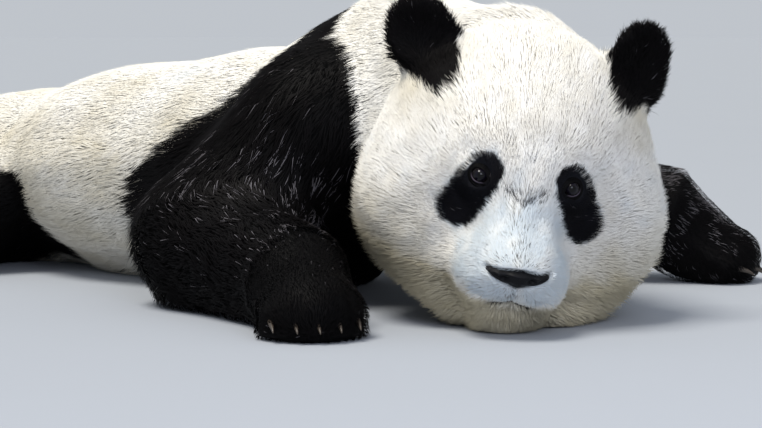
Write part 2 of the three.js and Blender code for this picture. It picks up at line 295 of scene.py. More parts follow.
class Axes:
    """A local frame, in millimetres, with its directions ahead, left and up."""

    def __init__(self, origin, ahead, left, up):
        self.origin = np.array(origin, float)
        self.rows = np.array([ahead, left, up], float)

    def local(self, points):
        return (np.asarray(points) - self.origin) @ self.rows.T / MM

    def world(self, points):
        return np.asarray(points, float) @ self.rows * MM + self.origin

    def direction(self, vector):
        return np.asarray(vector, float) @ self.rows


def head_axes():
    """The head's frame, from its middle, worked out from the eyes and the nose."""
    right, left, nose = middle("eye_right"), middle("eye_left"), middle("nose")
    across = (left - right).normalized()
    brow = (left + right) / 2
    drop = nose - brow
    drop -= across * drop.dot(across)
    drop.normalize()
    square = drop.cross(across)
    ahead = math.cos(FACE_SLOPE) * drop + math.sin(FACE_SLOPE) * square
    up = -math.sin(FACE_SLOPE) * drop + math.cos(FACE_SLOPE) * square
    return Axes(brow - ahead * EYES_AHEAD * MM - up * EYES_ABOVE * MM, ahead, across, up)


HEAD = head_axes()
NOSE_PLACE = HEAD.local(middle("nose"))
EYE_PLACES = {side: HEAD.local(middle(f"eye_{side}")) for side in SIDES}
EYE_RADIUS = (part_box("eye_right")[1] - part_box("eye_right")[0]).z / 2 / MM


# ---- Numbers over a mesh ----


def length_of(vectors):
    """The length of each vector."""
    return np.linalg.norm(vectors, axis=1)


def unit(vectors):
    """The vectors, all made one long."""
    return vectors / np.maximum(np.linalg.norm(vectors, axis=-1, keepdims=True), 1e-12)


def along_surface(directions, normals):
    """The directions, turned to lie along the surface."""
    return unit(directions - normals * (directions * normals).sum(1, keepdims=True))


def ramp(values, low, high):
    """0 up to low and 1 from high on, with a smooth step between them."""
    share = np.clip((values - low) / (high - low), 0, 1)
    return share * share * (3 - 2 * share)


def fade(values, low, high):
    """1 up to low and 0 from high on, with a smooth step between them."""
    return 1 - ramp(values, low, high)


def bump(distance, width):
    """1 at a distance of 0, falling away to either side."""
    return np.exp(-((distance / width) ** 2))


def waves(points, size, seed, count=10):
    """A smooth random value of about -1 to 1 that changes over about the given size."""
    rng = np.random.default_rng(seed)
    heading = unit(rng.normal(size=(count, 3))) * (2 * math.pi / size) * rng.uniform(0.6, 1.5, (count, 1))
    phase = rng.uniform(0, 2 * math.pi, count)
    return np.sin(points @ heading.T + phase).sum(1) / math.sqrt(count)


def to_bar(places, start, end):
    """How far places on a plane lie outside a rounded bar between two (x, y, radius)."""
    a, b = np.array(start[:2], float), np.array(end[:2], float)
    share = np.clip((places - a) @ (b - a) / ((b - a) @ (b - a)), 0, 1)[:, None]
    away = length_of(places - a - share * (b - a))
    return away - (start[2] + share[:, 0] * (end[2] - start[2]))


def read(items, name, width, kind=np.float32):
    """One property of all the items, with the given number of values each."""
    values = np.empty(len(items) * width, kind)
    items.foreach_get(name, values)
    return values.reshape(-1, width) if width > 1 else values


def points_of(mesh):
    """The place of each vertex."""
    return read(mesh.vertices, "co", 3).astype(float)


def move_points(mesh, points):
    mesh.vertices.foreach_set("co", points.astype(np.float32).ravel())
    mesh.update()


def normals_of(mesh):
    """The direction out of the surface at each vertex."""
    return read(mesh.vertices, "normal", 3).astype(float)


# How each kind of attribute keeps its values: under which name, and how many for each vertex.
KINDS = {"FLOAT": ("value", 1), "FLOAT_VECTOR": ("vector", 3), "FLOAT_COLOR": ("color", 4)}


def store(mesh, name, values, kind):
    """Keeps something about each vertex as an attribute of the mesh."""
    attribute = mesh.attributes.new(name, kind, "POINT")
    attribute.data.foreach_set(KINDS[kind][0], np.asarray(values, np.float32).ravel())


def stored(mesh, name):
    """What an attribute of the mesh keeps about each vertex."""
    attribute = mesh.attributes[name]
    return read(attribute.data, *KINDS[attribute.data_type]).astype(float)


class Net:
    """The edges of a mesh, for spreading values from each vertex to its neighbours."""

    def __init__(self, mesh):
        pairs = read(mesh.edges, "vertices", 2, np.int32)
        self.here = np.concatenate([pairs[:, 0], pairs[:, 1]])
        self.there = np.concatenate([pairs[:, 1], pairs[:, 0]])
        self.count = len(mesh.vertices)
        self.links = np.maximum(np.bincount(self.here, minlength=self.count), 1)

    def around(self, values):
        """The mean of each vertex's neighbours."""
        if values.ndim == 1:
            return np.bincount(self.here, values[self.there], self.count) / self.links
        return np.stack([self.around(values[:, i]) for i in range(values.shape[1])], 1)

    def spread(self, values, rounds):
        for _ in range(rounds):
            values = (values + self.around(values)) / 2
        return values

    def soften(self, points, rounds):
        """Smooths away all that is narrower than the rounds reach, and keeps the broad shape's fullness."""
        once = self.spread(points, rounds)
        return once + self.spread(points - once, rounds)

    def relax(self, points, rounds, share):
        """Smooths points without shrinking the shape. The share says how much, vertex by vertex."""
        for _ in range(rounds):
            for pull in (0.6, -0.62):
                points = points + (self.around(points) - points) * pull * share[:, None]
        return points


# ---- Objects ----


def deselect():
    """Goes back to object mode, with nothing selected."""
    if bpy.context.mode != "OBJECT":
        bpy.ops.object.mode_set(mode="OBJECT")
    bpy.ops.object.select_all(action="DESELECT")


def activate(piece):
    """Selects one piece alone."""
    deselect()
    piece.select_set(True)
    bpy.context.view_layer.objects.active = piece


def edit_all(piece, operator, **values):
    """Runs an operator on the whole of a piece's mesh in edit mode."""
    activate(piece)
    bpy.ops.object.mode_set(mode="EDIT")
    bpy.ops.mesh.select_all(action="SELECT")
    operator(**values)
    bpy.ops.object.mode_set(mode="OBJECT")


def merged_copy(names, title):
    """One object that joins copies of the named solids, each still a closed mesh of its own."""
    deselect()
    for name in names:
        copy = bpy.data.objects.new(f"{title}_{name}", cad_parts[name].data.copy())
        bpy.context.scene.collection.objects.link(copy)
        copy.select_set(True)
        bpy.context.view_layer.objects.active = copy
    bpy.ops.object.join()
    piece = bpy.context.object
    piece.name = title
    piece.data.name = title
    piece.data.materials.clear()
    edit_all(piece, bpy.ops.mesh.remove_doubles, threshold=0.01 * MM)
    return piece


def add_modifier(piece, kind, **values):
    """Adds a modifier, sets its values and applies it."""
    activate(piece)
    modifier = piece.modifiers.new(kind.title(), kind)
    for name, value in values.items():
        setattr(modifier, name, value)
    bpy.ops.object.modifier_apply(modifier=modifier.name)


def new_piece(name, points, faces):
    """An object from arrays of points and of faces that all have the same number of corners."""
    mesh = bpy.data.meshes.new(name)
    mesh.vertices.add(len(points))
    mesh.vertices.foreach_set("co", points.astype(np.float32).ravel())
    mesh.loops.add(faces.size)
    mesh.loops.foreach_set("vertex_index", faces.astype(np.int32).ravel())
    mesh.polygons.add(len(faces))
    mesh.polygons.foreach_set("loop_start", np.arange(0, faces.size, faces.shape[1], dtype=np.int32))
    mesh.update(calc_edges=True)
    mesh.validate()
    piece = bpy.data.objects.new(name, mesh)
    bpy.context.scene.collection.objects.link(piece)
    return piece


def finish_piece(piece, material, replaced=()):
    """Smooths a piece's shading, gives it its material and hands it to the frame."""
    piece.data.polygons.foreach_set("use_smooth", [True] * len(piece.data.polygons))
    piece.data.materials.clear()
    piece.data.materials.append(material)
    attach(piece, "root")
    if replaced:
        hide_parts(*replaced)


# ---- Materials ----


class Shader:
    """A new material, with short calls for its nodes. Colours are given as (red, green, blue)."""

    def __init__(self, name, **sockets):
        self.material = bpy.data.materials.new(name)
        self.material.use_nodes = True
        self.tree = self.material.node_tree
        self.surface = self.tree.nodes["Principled BSDF"]
        for socket, value in sockets.items():
            self.surface.inputs[socket.replace("_", " ")].default_value = value

    def node(self, kind, values=None, **settings):
        made = self.tree.nodes.new(f"ShaderNode{kind}")
        for name, value in settings.items():
            setattr(made, name, value)
        for socket, value in (values or {}).items():
            self.put(value, made.inputs[socket])
        return made

    def put(self, value, socket):
        """Links a socket to an output, or sets it to a number or a colour."""
        if isinstance(value, bpy.types.NodeSocket):
            self.tree.links.new(value, socket)
        else:
            socket.default_value = (*value, 1) if socket.type == "RGBA" else value

    def paint(self, colour):
        self.put(colour, self.surface.inputs["Base Color"])

    def roughen(self, roughness):
        self.put(roughness, self.surface.inputs["Roughness"])

    def known(self, attribute, output="Fac"):
        """What the mesh keeps under the attribute's name."""
        return self.node("Attribute", attribute_name=attribute).outputs[output]

    def mix(self, share, first, second, how="MIX"):
        made = self.node("Mix", data_type="RGBA", blend_type=how)
        for index, value in ((0, share), (6, first), (7, second)):
            self.put(value, made.inputs[index])
        return made.outputs[2]

    def scaled(self, value, low, high, first=0.0, second=1.0):
        """The value's range low to high, stretched to first to second."""
        made = self.node("MapRange", {0: value, 1: low, 2: high, 3: first, 4: second}, clamp=True)
        return made.outputs[0]

    def noise(self, scale, detail=4.0, stretch=None):
        place = self.node("TexCoord").outputs["Object"]
        if stretch:
            place = self.node("Mapping", {"Vector": place, "Scale": stretch}).outputs[0]
        return self.node("TexNoise", {"Vector": place, "Scale": scale, "Detail": detail}).outputs[0]

    def bump(self, height, strength, distance):
        values = {"Height": height, "Strength": strength, "Distance": distance}
        self.put(self.node("Bump", values).outputs[0], self.surface.inputs["Normal"])


def fur_colour(shader, marks, lift):
    """The coat's colour from its marks: red is black fur, green is how cream the white is, from real
    staining and from painted shade, and blue is tone, which on black fur at its highest gives a painted
    glint.
    Lift is the share of the way from root to tip."""
    fur = bpy.context.scene.panda_coat
    black, stain_and_shade, tone = shader.node("SeparateColor", {0: marks}).outputs
    # Painted shade: the least cream white is darker and bluer, as the muzzle and bridge look in shade.
    clean_or_shaded = shader.mix(shader.scaled(stain_and_shade, 0.0, 0.3), fur.pearl, fur.white)
    tip = shader.mix(shader.scaled(stain_and_shade, 0.3, 1.0), clean_or_shaded, fur.cream)
    # Painted shade: the coat darkens from tip to root towards the under colour, as the shade between tufts
    # would.
    root = shader.mix(0.45, tip, fur.under)
    pale = shader.mix(shader.scaled(lift, 0.0, 0.6), root, tip)
    toned = shader.mix(shader.scaled(tone, 0.0, 1.0, 0.0, 0.35), pale, root)
    # Painted sheen: where the coat is least cream, on the eye patches, the black is paler and bluer.
    deep = shader.mix(shader.scaled(stain_and_shade, 0.0, 0.25), (0.0075, 0.0080, 0.0110), fur.black)
    dark = shader.mix(shader.scaled(lift, 0.45, 1.0), deep, fur.rust)
    # Painted glints: the black tufts of highest tone take the pale glint colour.
    dark = shader.mix(shader.scaled(tone, 0.85, 1.0), dark, fur.gloss)
    return shader.mix(black, toned, dark), black


def coat_material(name):
    """Dull fur, a little smoother where it is black."""
    shader = Shader(name, Specular_IOR_Level=0.05)
    marks = shader.node("Attribute", attribute_name="marks").outputs
    colour, black = fur_colour(shader, marks["Color"], marks["Alpha"])
    shader.paint(colour)
    shader.roughen(shader.scaled(black, 0.0, 1.0, 0.85, 0.50))
    return shader.material


def skin_material():
    """Undercoat, black or pale, and bare skin on the lips and lids."""
    shader = Shader("Panda skin and undercoat", Roughness=0.75, Specular_IOR_Level=0.1)
    colour, black = fur_colour(shader, shader.known("marks", "Color"), 0.35)
    grain = shader.noise(900.0, 6.0)
    specks = shader.scaled(grain, 0.3, 0.7, 0.0, 0.15)
    grained = shader.mix(specks, colour, (0.05, 0.04, 0.035), "MULTIPLY")
    flesh = shader.mix(shader.noise(240.0), (0.115, 0.062, 0.062), (0.035, 0.022, 0.024))
    flesh = shader.mix(black, flesh, (0.010, 0.005, 0.005))
    shader.paint(shader.mix(shader.known("bare"), grained, flesh))
    shader.bump(grain, 0.5, 1 * MM)
    return shader.material


def nose_material():
    """Black, moist and finely pebbled leather, its black a little paler and bluer as painted sheen."""
    shader = Shader("Nose leather", Specular_IOR_Level=0.12)
    place = shader.node("TexCoord").outputs["Object"]
    cells = shader.node("TexVoronoi", {"Vector": place, "Scale": 1700.0})
    blotch = shader.noise(120.0)
    # Painted sheen: the leather's blacks are a little paler and bluer than bare black.
    shader.paint(shader.mix(blotch, (0.0028, 0.0029, 0.0038), (0.0062, 0.0064, 0.0080)))
    shader.roughen(shader.scaled(blotch, 0.3, 0.7, 0.40, 0.55))
    shader.bump(cells.outputs["Distance"], 0.3, 0.25 * MM)
    return shader.material


def eye_material():
    """From the middle out: black pupil, dark fibrous iris tinted purple-blue as a painted reflection, black
    rim and a dull dark white.
    """
    settings = bpy.context.scene.panda_eyes
    pupil, edge = settings.pupil, settings.iris
    shader = Shader("Eye", Roughness=0.05, Specular_IOR_Level=0.22)
    reach = shader.known("reach")
    # Painted reflection: the iris's purple-blue tint stands in for the bluish light seen in the cornea.
    iris = shader.mix(shader.noise(1500.0), (0.0020, 0.0016, 0.0036), (0.0050, 0.0037, 0.0090))
    inner = shader.mix(shader.scaled(reach, pupil * 0.9, pupil * 1.15), (0.001, 0.001, 0.001), iris)
    rim = shader.mix(shader.scaled(reach, edge * 0.8, edge * 0.97), inner, (0.004, 0.003, 0.003))
    white = shader.mix(shader.noise(400.0), (0.003, 0.002, 0.003), (0.008, 0.006, 0.009))
    shader.paint(shader.mix(shader.scaled(reach, edge * 1.02, edge * 1.3), rim, white))
    return shader.material


def lid_material():
    """Black skin with a moist edge below the eye, made pale as a painted highlight."""
    shader = Shader("Eyelid skin", Roughness=0.6, Specular_IOR_Level=0.06)
    shader.paint(shader.mix(shader.known("margin"), (0.003, 0.0028, 0.003), (0.115, 0.095, 0.125)))
    shader.bump(shader.noise(1200.0), 0.3, 0.3 * MM)
    return shader.material


def horn_material():
    """Dark horn with paler streaks along the claw."""
    shader = Shader("Claw horn", Specular_IOR_Level=0.5)
    streaks = shader.noise(500.0, 4.0, (1.0, 0.25, 1.0))
    shader.paint(shader.mix(streaks, (0.016, 0.012, 0.010), (0.085, 0.066, 0.048)))
    shader.roughen(shader.scaled(streaks, 0.3, 0.7, 0.28, 0.5))
    shader.bump(streaks, 0.25, 0.3 * MM)
    return shader.material


def floor_material():
    shader = Shader("Pale floor", Roughness=0.9, Specular_IOR_Level=0.1)
    shader.paint(shader.mix(shader.noise(3.0), (0.359, 0.382, 0.4205), (0.366, 0.389, 0.4285)))
    return shader.material


# ---- Markings and lie of the coat ----


def to_patch(local):
    """How far outside the nearer eye patch places in the head's frame lie, in millimetres."""
    right, left = (to_bar(local[:, 1:], *EYE_PATCHES[side]) for side in SIDES)
    return np.where(local[:, 0] > 40, np.minimum(right, left), 99)


def black_of_face(local):
    """How black the head's coat is: two eye patches and the feet of the ears, with ragged edges."""
    ragged = waves(local, 11, 11) * 1.2 + waves(local, 4, 12) * 0.5
    black = 1 - ramp(to_patch(local) + ragged, -3.5, 2.5)
    for side in SIDES:
        low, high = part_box(f"ear_{side}")
        radius = (high - low).z / 2 / MM
        away = length_of((local - HEAD.local(middle(f"ear_{side}")))[:, 1:])
        foot = 1 - ramp(away + ragged * 2, radius * 0.60, radius * 0.70)
        black = np.maximum(black, foot * ramp(local[:, 0], -60, -30))
    return black


def black_of_body(points):
    """How black the body's coat is: a band round the shoulders that takes in the fore legs."""
    place = points / MM
    ragged = waves(place, 45, 21) * 7 + waves(place, 12, 22) * 4
    heights, fronts, backs = np.array(BAND, float).T
    front = np.interp(place[:, 2], heights, fronts)
    back = np.interp(place[:, 2], heights, backs)
    behind = ramp(place[:, 1] + ragged, front - 5, front + 5)
    return behind * fade(place[:, 1] + ragged, back - 6, back + 6)


def haunch_edge(place):
    """How high the black of the hind leg reaches, in millimetres."""
    return 150 - 0.0006 * (place[:, 1] - middle("thigh_right").y / MM) ** 2


def black_of_haunch(points):
    """How black the hind quarters are: black from the leg's upper edge down, with a white rump."""
    place = points / MM
    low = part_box("thigh_right")[0] / MM
    ragged = waves(place, 40, 31) * 8 + waves(place, 12, 32) * 4
    top = haunch_edge(place)
    outer = ramp(np.abs(place[:, 0]), 95, 130)
    return fade(place[:, 2] + ragged, top - 6, top + 6) * outer * (place[:, 1] > low[1] - 10)


def black_share(points, labels):
    """How black the coat is at each vertex. On the ears and the lower legs all of it is."""
    body, haunch = black_of_body(points), black_of_haunch(points)
    shares = {
        "head": black_of_face(HEAD.local(points)),
        "neck": body,
        "trunk": np.maximum(body, haunch),
        "thigh": np.maximum(haunch, points[:, 2] < 0.08),
        "tail": 0,
    }
    black = np.ones(len(points))
    for part, share in shares.items():
        black = np.where(PARTS[labels] == part, share, black)
    return black


def dark_hairs(local):
    """The share of black hairs among the white: in the crease of the brow, down the bridge of the nose, on
    the upper lip and just over the nose."""
    ahead, left, up = local.T
    side = np.abs(left)
    crease = bump(up - (14 + 0.5 * side), 6) * fade(side, 18, 30)
    bridge = bump(left, 9) * (bump(up + 26, 13) + 0.3 * ramp(up, -20, -5) * fade(up, 8, 20))
    lip = bump(side - 14, 10) * bump(up + 72, 5)
    over_nose = bump(up - NOSE_PLACE[2] - 13, 4) * fade(side, 24, 34)
    return (0.50 * crease + 0.24 * bridge + 0.03 * lip + 0.15 * over_nose) * (ahead > 60)


def glint_share(points):
    """The share of the black coat's tufts that are pale strands painted as glints."""
    place = points / MM
    share = np.full(len(points), 0.004)
    for node, offset, reach, most in GLINT_PLACES:
        away = length_of(place - middle(node) / MM - offset)
        share += most * bump(away, reach) * ramp(waves(place, 40, 61), -0.6, 0.8)
    return share


def stain_and_shade_share(points, labels):
    """How cream the white coat is, partly real staining and partly painted shade: most under the lip and on
    the cheeks and chin, where shade falls, least on the muzzle, and more towards the bottom of the body.
    It is low in the eye patches too, which gives them a paler, bluer black as painted sheen."""
    local = HEAD.local(points)
    ahead, left, up = local.T
    muzzle = length_of(local - NOSE_PLACE)
    under_lip = mouth_height(left) - up
    # Partly painted shade: the coat is made more cream on the lower cheeks, the chin and under the lip,
    # where shade falls.
    head = 0.02 + 0.27 * ramp(muzzle, 60, 125) + 0.42 * ramp(muzzle, 80, 160) * ramp(-up, -20, 80)
    head += 0.75 * ramp(under_lip, -3, 9) * ramp(muzzle, 24, 34)
    head += 0.25 * ramp(-up, 60, 85) * ramp(muzzle, 48, 66)
    head += 0.3 * bump(length_of(np.abs(local) - [10, 118, 95]), 45)
    head += 0.25 * bump(length_of(local - [70, 85, -65]), 50)
    head += 0.12 * ramp(up, 55, 100)
    # Painted sheen: the eye patches are kept least cream, which makes their black paler and bluer.
    head *= 0.1 + 0.9 * ramp(to_patch(local), -4, 4)
    body = 0.40 + 0.10 * waves(points / MM, 130, 41) + 0.22 * fade(points[:, 2], 0.16, 0.28)
    of_head = ramp(ahead, -230, -20) * (np.isin(PARTS[labels], ["head", "ear"]) | (points[:, 2] > 0.1))
    return np.clip(body + (head - body) * of_head + 0.07 * waves(points / MM, 30, 42), 0, 1)


def lie_of(points, normals, labels, net):
    """The direction in which the coat lies, along the skin."""
    lie = np.zeros_like(points)
    local = HEAD.local(points)
    from_nose = local - (NOSE_PLACE + [6, 0, 0])
    for place in EYE_PLACES.values():
        away = local - place
        from_nose += unit(away) * (120 * bump(length_of(away), 26))[:, None]
    heads = unit(HEAD.direction(from_nose))
    flanks = np.sign(points[:, :1]) * [0.18, 0, 0]
    for index, (name, part) in enumerate(zip(FLESH, PARTS)):
        here = labels == index
        if part == "head":
            lie[here] = heads[here]
        elif part == "ear":
            base = HEAD.world(HEAD.local(middle(name)) - [14, 0, 26])
            lie[here] = unit(points[here] - base)
        elif part in ("neck", "trunk"):
            lie[here] = flanks[here] + [0.0, 1.0, -0.28]
        elif part == "tail":
            lie[here] = [0, 0.5, -1]
        else:
            end = middle(NEXT_NODE[part].format(name.rsplit("_", 1)[-1]))
            lie[here] = np.array((end - middle(name)).normalized())
            if part == "upper_arm":
                lie[here] += [0.0, 0.55, -0.25]
    return along_surface(net.spread(lie, 14), normals)


# ---- The skin ----


def labels_of(points):
    """For each point, the place in FLESH of the nearest solid."""
    corners, triangles, owners = [], [], []
    for index, name in enumerate(FLESH):
        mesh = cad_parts[name].data
        start = sum(len(part) for part in corners)
        corners.append(points_of(mesh))
        faces = [tuple(start + v for v in face.vertices) for face in mesh.polygons]
        triangles += faces
        owners += [index] * len(faces)
    tree = BVHTree.FromPolygons(np.concatenate(corners).tolist(), triangles)
    return np.array([owners[tree.find_nearest(point)[2]] for point in points.tolist()])


def coat_changes(points, on_head):
    """Places where the coat differs from its tables. For each: how much each vertex belongs to it, then by
    how much it adds to the depth, length, width and tufts, and which share of them it takes away."""
    none = (0, 0, 0, 0)
    local = HEAD.local(points)
    ahead, left, up = local.T
    from_nose = length_of(local - NOSE_PLACE)
    under_lip = mouth_height(left) - up
    heights, fronts, _ = np.array(BAND, float).T
    ahead_of_band = points[:, 1] / MM - np.interp(points[:, 2] / MM, heights, fronts)
    chin = ramp(under_lip, 4, 16) * fade(from_nose, 100, 140) * on_head
    yield chin, (3, 15, 0.3, -8), none
    yield bump(ahead_of_band + 15, 45), none, (0, 0.45, 0, 0)
    for side in SIDES:
        from_ear = length_of((points - np.array(middle(f"ear_{side}"))) / MM)
        yield on_head * fade(from_ear, 58, 90), none, (0.2, 0.4, 0.15, -0.25)
    jowl = ramp(-up, 30, 85) * ramp(from_nose, 70, 110) * on_head
    yield jowl, (3, 8, 0.1, 0), none
    over_haunch = (points[:, 1] > 0.2) * bump(points[:, 2] / MM - haunch_edge(points / MM) - 15, 40)
    yield over_haunch, none, (0, 0.35, 0, 0)
    lip = bump(under_lip, 4) * (np.abs(left) < 32) * (ahead > 100)
    yield lip, none, (0, 0.6, 0, 0)
    flews = bump(under_lip + 6, 14) * ramp(np.abs(left), 24, 36) * fade(from_nose, 70, 90)
    yield flews * on_head, (1.5, 7, 0.1, 0), none
    patch = on_head * fade(to_patch(local), 7, 25)
    yield patch, none, (0.25, 0.48, 0.25, -0.35)


def coat_numbers(points, labels, net):
    """Depth, length and width of the coat in millimetres, and tufts on a square centimetre."""
    numbers = np.array([COAT[part] for part in PARTS], float)[labels]
    reach, *columns = np.array(FACE_COAT, float).T
    on_head = PARTS[labels] == "head"
    from_nose = length_of(HEAD.local(points) - NOSE_PLACE)[on_head]
    for index, column in enumerate(columns):
        numbers[on_head, index] = np.interp(from_nose, reach, column)
    for share, added, taken in coat_changes(points, on_head):
        numbers = numbers * (1 - np.outer(share, taken)) + np.outer(share, added)
    return net.spread(numbers, 8)


def refine(piece, choose):
    """Halves the squares where choose says so, from their middles in the head's frame."""
    activate(piece)
    chosen = choose(HEAD.local(read(piece.data.polygons, "center", 3)))
    bpy.ops.object.mode_set(mode="EDIT")
    bpy.ops.mesh.select_all(action="DESELECT")
    bpy.ops.mesh.select_mode(type="FACE")
    bpy.ops.object.mode_set(mode="OBJECT")
    piece.data.polygons.foreach_set("select", chosen)
    bpy.ops.object.mode_set(mode="EDIT")
    bpy.ops.mesh.subdivide(number_cuts=1)
    bpy.ops.object.mode_set(mode="OBJECT")


def near_face(local):
    """Whether a square lies on the front of the head."""
    return (local[:, 0] > 55) & (length_of(local - [150, 0, -10]) < 135)


def near_features(local):
    """Whether a square lies round an eye, or round the nose and mouth."""
    mirrored = local * [1, 0, 1] + np.abs(local) * [0, 1, 0]
    near_eye = length_of(mirrored - EYE_PLACES["left"]) < 30
    return near_eye | (length_of(local - (NOSE_PLACE + [-8, 0, -18])) < 52)


def near_mouth(local):
    """Whether a square lies along the line of the mouth."""
    return (np.abs(local[:, 1]) < 30) & (np.abs(local[:, 2] + 84) < 9) & (local[:, 0] > 90)


def mouth_height(left):
    """How high the line of the mouth runs, in the head's frame."""
    return -79.5 - 4.2 * (1 - np.exp(-np.abs(left) / 8)) + 3 * ramp(np.abs(left), 26, 48)


def nose_edges(left):
    """The lower and upper edges of the nose leather, from its middle, at a place across it."""
    side = np.abs(left)
    upper = 9.0 - 2.0 * ramp(side, 2, 24) - 1.6 * ramp(side, 28, 36)
    lower = -12.8 + 0.30 * side + 4.0 * ramp(side, 18, 36)
    return lower, upper


def sculpt_muzzle(local, settings):
    """Cuts the brow crease, the mouth, the groove under the nose and the nose's seat, and fills out the
    muzzle. Moves the places in the head's frame and gives the bare skin and the dark line between the lips,
    which is dark lip skin and painted shade of the crease."""
    ahead, left, up = local.T
    side = np.abs(left)
    front = ramp(ahead, 50, 90)
    crease = bump(np.abs(up - (12 + 0.55 * side)), 6) * fade(side, 14, 30) * front
    local[:, 0] -= crease * settings.crease / MM
    saddle = bump(up + 8, 20) * fade(side, 12, 34) * front
    plateau = bump(up + 38, 12) * fade(side, 16, 36) * front
    local += np.outer(3.5 * plateau - 7 * saddle, BRIDGE_OUT)
    lips = fade(side, 16, 30) * ramp(ahead, 100, 130)
    under_lip = mouth_height(left) - up
    mouth = bump(under_lip - 0.8, 2.6) * lips
    local[:, 0] -= 2.5 * ramp(under_lip, -1, 2) * fade(under_lip, 6, 16) * lips
    # Partly painted shade: the line between the lips is dark lip skin and the shade of the crease, painted
    # black on the skin and its tufts.
    line = 0.95 * fade(np.abs(under_lip - 0.4), 1.3, 3.2) * lips
    groove = bump(left, 2.2) * ramp(up, -84, -78) * fade(up, -62, -56) * front
    local[:, 0] -= mouth * settings.mouth / MM + groove * 2.5
    lower, upper = nose_edges(left)
    outside = np.maximum(up - NOSE_PLACE[2] - upper, lower - up + NOSE_PLACE[2])
    outside = np.maximum(outside, side - 34)
    seat = fade(outside, -2.2, 2.2) * front
    local[:, 0] -= seat * 7
    under_nose = bump((up + 71) / 9, 1) * bump(left / 19, 1) * front
    bare = np.max([mouth, groove * 0.6, seat, under_nose * 0.72], 0)
    return np.clip(bare, 0, 1), line


def sculpt_sockets(local):
    """Sets the skin round each eye to the form of its socket, in the head's frame."""
    reach, heights, firmness = np.array(SOCKET, float).T
    for side in SIDES:
        axes = eye_axes(side)
        socket = axes.local(HEAD.world(local))
        across = np.hypot(socket[:, 1], socket[:, 2])
        out = socket[:, 0]
        share = np.interp(across, reach, firmness)
        moved = out * (1 - share) + np.interp(across, reach, heights) * share
        socket[:, 0] = np.where((out > -14) & (across < 30), moved, out)
        local = HEAD.local(axes.world(socket))
    return local


def inset(points, normals, depth):
    """The skin under a coat of the given depth. Where the body is pressed to the floor it stays low."""
    return points - normals * (depth * (1 - 0.85 * pressed(points, normals, 0.45)))[:, None]


def pressed(points, normals, least):
    """How firmly each vertex is pressed to the floor, from how low it is and how far down it faces."""
    return ramp(-normals[:, 2], least, 0.9) * fade(points[:, 2], 8 * MM, 30 * MM)


def fused_solids(settings):
    """One smooth skin round the solids of flesh, unwrapped, with smaller squares towards the face."""
    skin = merged_copy([*FLESH, "nose"], "skin")
    add_modifier(skin, "DISPLACE", strength=settings.swell, mid_level=0.0)
    add_modifier(skin, "REMESH", mode="VOXEL", voxel_size=settings.voxel)
    net = Net(skin.data)
    points = points_of(skin.data)
    labels = labels_of(points)
    calm = np.where(np.isin(PARTS, ["ear", "fore_paw", "hind_foot"]), 0.55, 1.0)[labels]
    points = net.relax(points, 14, net.spread(calm, 4))
    broad = np.isin(PARTS, BROAD).astype(float)[labels]
    points += (net.soften(points, 60) - points) * net.spread(broad, 10)[:, None]
    move_points(skin.data, points)
    edit_all(skin, bpy.ops.uv.smart_project, angle_limit=math.radians(66), island_margin=0.002)
    skin.data.uv_layers[0].name = "OFBake"
    for choose in (near_face, near_features, near_mouth):
        refine(skin, choose)
    return skin


class PANDA_OT_skin(bpy.types.Operator):
    """Fuses the solids of flesh into one skin, sinks it under the coat and shapes the face"""

    bl_idname = "panda.skin"
    bl_label = "Skin"

    def execute(self, context):
        settings = context.scene.panda_skin
        skin = fused_solids(settings)
        mesh = skin.data
        net = Net(mesh)
        points, normals = points_of(mesh), normals_of(mesh)
        labels = labels_of(points)
        numbers = coat_numbers(points, labels, net)
        lie = lie_of(points, normals, labels, net)
        seen = points + lie * (numbers[:, 1:2] * SEEN_SHARE * MM)
        black, stain_and_shade = black_share(seen, labels), stain_and_shade_share(seen, labels)
        local = HEAD.local(inset(points, net.spread(normals, 3), numbers[:, 0] * MM))
        bare, line = sculpt_muzzle(local, settings)
        points = HEAD.world(sculpt_sockets(local))
        points[:, 2] = np.maximum(points[:, 2], SKIN_GAP)
        move_points(mesh, points)
        tone = np.full(len(points), 0.5)
        # The mouth's line is painted black: dark lip skin and the shade of its crease.
        store(mesh, "marks", np.stack([np.maximum(black, line), stain_and_shade, tone, tone], 1), "FLOAT_COLOR")
        store(mesh, "lie", along_surface(lie, normals_of(mesh)), "FLOAT_VECTOR")
        store(mesh, "part", labels, "FLOAT")
        store(mesh, "bare", bare * (1 - line), "FLOAT")
        for name, values in zip(COAT_FIELDS, numbers.T):
            store(mesh, name, values, "FLOAT")
        finish_piece(skin, skin_material(), FLESH)
        return {"FINISHED"}


# ---- Eyes ----


def eye_axes(side):
    """A frame at the middle of an eye, looking out of its socket, with the line of the lids across."""
    sign = SIDES[side]
    ahead = unit(HEAD.direction([0.88, 0.36 * sign, 0.26]))
    tilt = math.radians(32)
    corner = HEAD.direction([0, sign * math.cos(tilt), math.sin(tilt)])
    across = unit(corner - ahead * (corner @ ahead))
    return Axes(middle(f"eye_{side}"), ahead, across, np.cross(ahead, across))


